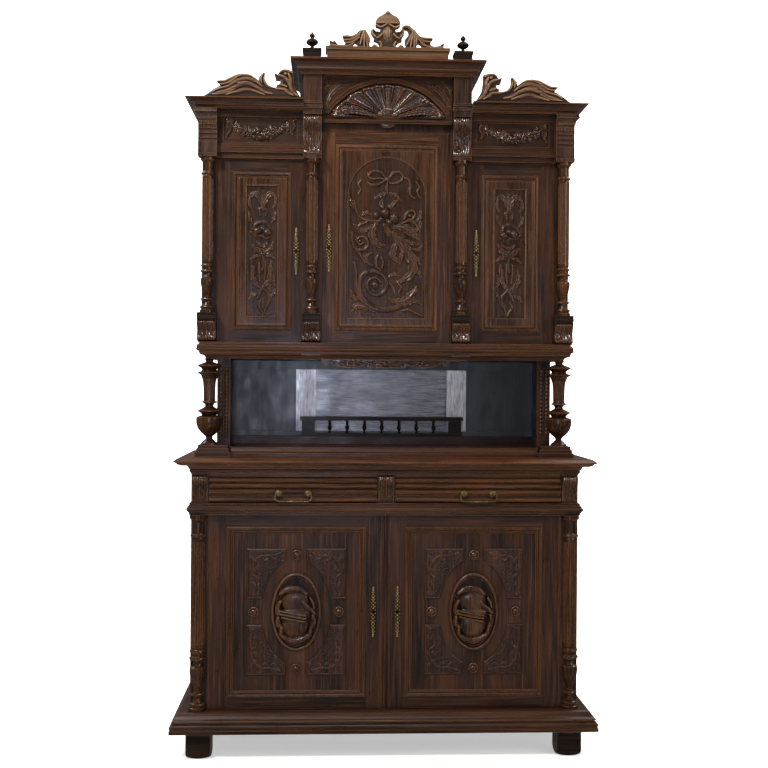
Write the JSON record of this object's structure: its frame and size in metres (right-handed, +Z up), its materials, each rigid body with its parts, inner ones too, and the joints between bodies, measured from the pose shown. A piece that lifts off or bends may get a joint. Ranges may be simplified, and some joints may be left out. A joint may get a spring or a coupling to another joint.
{
  "type": "cupboard",
  "caption": "Two-stage carved oak cupboard: doors and drawers below, an open recess on turned columns, carved doors above under a cornice with a shell, scrolls and crest.",
  "frame": {"origin": "on the floor, at the middle of the plinth's width and of the whole depth", "axes": "+X to the right, +Y to the back, +Z up"},
  "size_m": [1.57, 0.54, 2.794],
  "materials": {
    "oak": "waxed dark oak",
    "oak_carved": "carved oak, waxed, worn lighter on the edges",
    "oak_inside": "unfinished oak",
    "brass": "aged cast brass, with iron lock cases and pivots"
  },
  "bodies": {
    "carcase": {"feet": "oak", "plinth": "oak", "base_shelves": "oak_inside", "base_sides": "oak", "base_back": "oak_inside", "base_face_frame": "oak", "upper_shelves": "oak_inside", "base_columns": "oak", "waist_moulding": "oak", "drawer_brackets": "oak_carved", "drawer_runners": "oak_inside", "bed_moulding": "oak", "counter_top": "oak", "recess_base": "oak", "recess_back": "oak", "recess_sides": "oak", "recess_columns": "oak_carved", "gallery": "oak_carved", "apron": "oak_carved", "upper_bottom": "oak", "upper_uprights": "oak", "upper_back": "oak_inside", "upper_top": "oak_inside", "upper_face_frame": "oak", "upper_columns": "oak_carved", "column_corbels": "oak_carved", "frieze_consoles": "oak_carved", "side_friezes": "oak_carved", "shell_frieze": "oak_carved", "shell": "oak_carved", "side_cornices": "oak", "centre_cornice": "oak", "crest": "oak_carved", "finials": "oak_carved", "dragons": "oak_carved"},
    "base_door_left": {"base_door_left_frame": "oak", "base_door_left_panel": "oak_carved", "base_door_left_ornament": "oak_carved", "base_door_left_hardware": "brass"},
    "base_door_right": {"base_door_right_frame": "oak", "base_door_right_panel": "oak_carved", "base_door_right_ornament": "oak_carved", "base_door_right_hardware": "brass"},
    "upper_door_left": {"upper_door_left_frame": "oak", "upper_door_left_panel": "oak_carved", "upper_door_left_hardware": "brass"},
    "upper_door_centre": {"upper_door_centre_frame": "oak", "upper_door_centre_panel": "oak_carved", "upper_door_centre_hardware": "brass"},
    "upper_door_right": {"upper_door_right_frame": "oak", "upper_door_right_panel": "oak_carved", "upper_door_right_hardware": "brass"},
    "drawer_left": {"drawer_left_box": "oak_inside", "drawer_left_front": "oak", "drawer_left_plates": "brass"},
    "drawer_left_bail": {"drawer_left_bail": "brass"},
    "drawer_right": {"drawer_right_box": "oak_inside", "drawer_right_front": "oak", "drawer_right_plates": "brass"},
    "drawer_right_bail": {"drawer_right_bail": "brass"}
  },
  "joints": [
    {"name": "base_door_left_hinge", "type": "hinge", "parent": "carcase", "child": "base_door_left", "pos_m": [-0.63, -0.195, 0.5265], "axis": [0, 0, -1], "range_deg": [0, 100]},
    {"name": "base_door_right_hinge", "type": "hinge", "parent": "carcase", "child": "base_door_right", "pos_m": [0.63, -0.195, 0.5265], "axis": [0, 0, 1], "range_deg": [0, 100]},
    {"name": "upper_door_left_hinge", "type": "hinge", "parent": "carcase", "child": "upper_door_left", "pos_m": [-0.617, -0.095, 1.869], "axis": [0, 0, -1], "range_deg": [0, 90]},
    {"name": "upper_door_centre_hinge", "type": "hinge", "parent": "carcase", "child": "upper_door_centre", "pos_m": [0.222, -0.095, 1.9235], "axis": [0, 0, 1], "range_deg": [0, 90]},
    {"name": "upper_door_right_hinge", "type": "hinge", "parent": "carcase", "child": "upper_door_right", "pos_m": [0.617, -0.095, 1.869], "axis": [0, 0, 1], "range_deg": [0, 90]},
    {"name": "drawer_left_slide", "type": "slide", "parent": "carcase", "child": "drawer_left", "axis": [0, -1, 0], "range_m": [0, 0.36]},
    {"name": "drawer_right_slide", "type": "slide", "parent": "carcase", "child": "drawer_right", "axis": [0, -1, 0], "range_m": [0, 0.36]},
    {"name": "drawer_left_bail_pivot", "type": "hinge", "parent": "drawer_left", "child": "drawer_left_bail", "pos_m": [-0.34225, -0.2275, 0.963], "axis": [-1, 0, 0], "range_deg": [0, 95]},
    {"name": "drawer_right_bail_pivot", "type": "hinge", "parent": "drawer_right", "child": "drawer_right_bail", "pos_m": [0.34225, -0.2275, 0.963], "axis": [-1, 0, 0], "range_deg": [0, 95]}
  ]
}
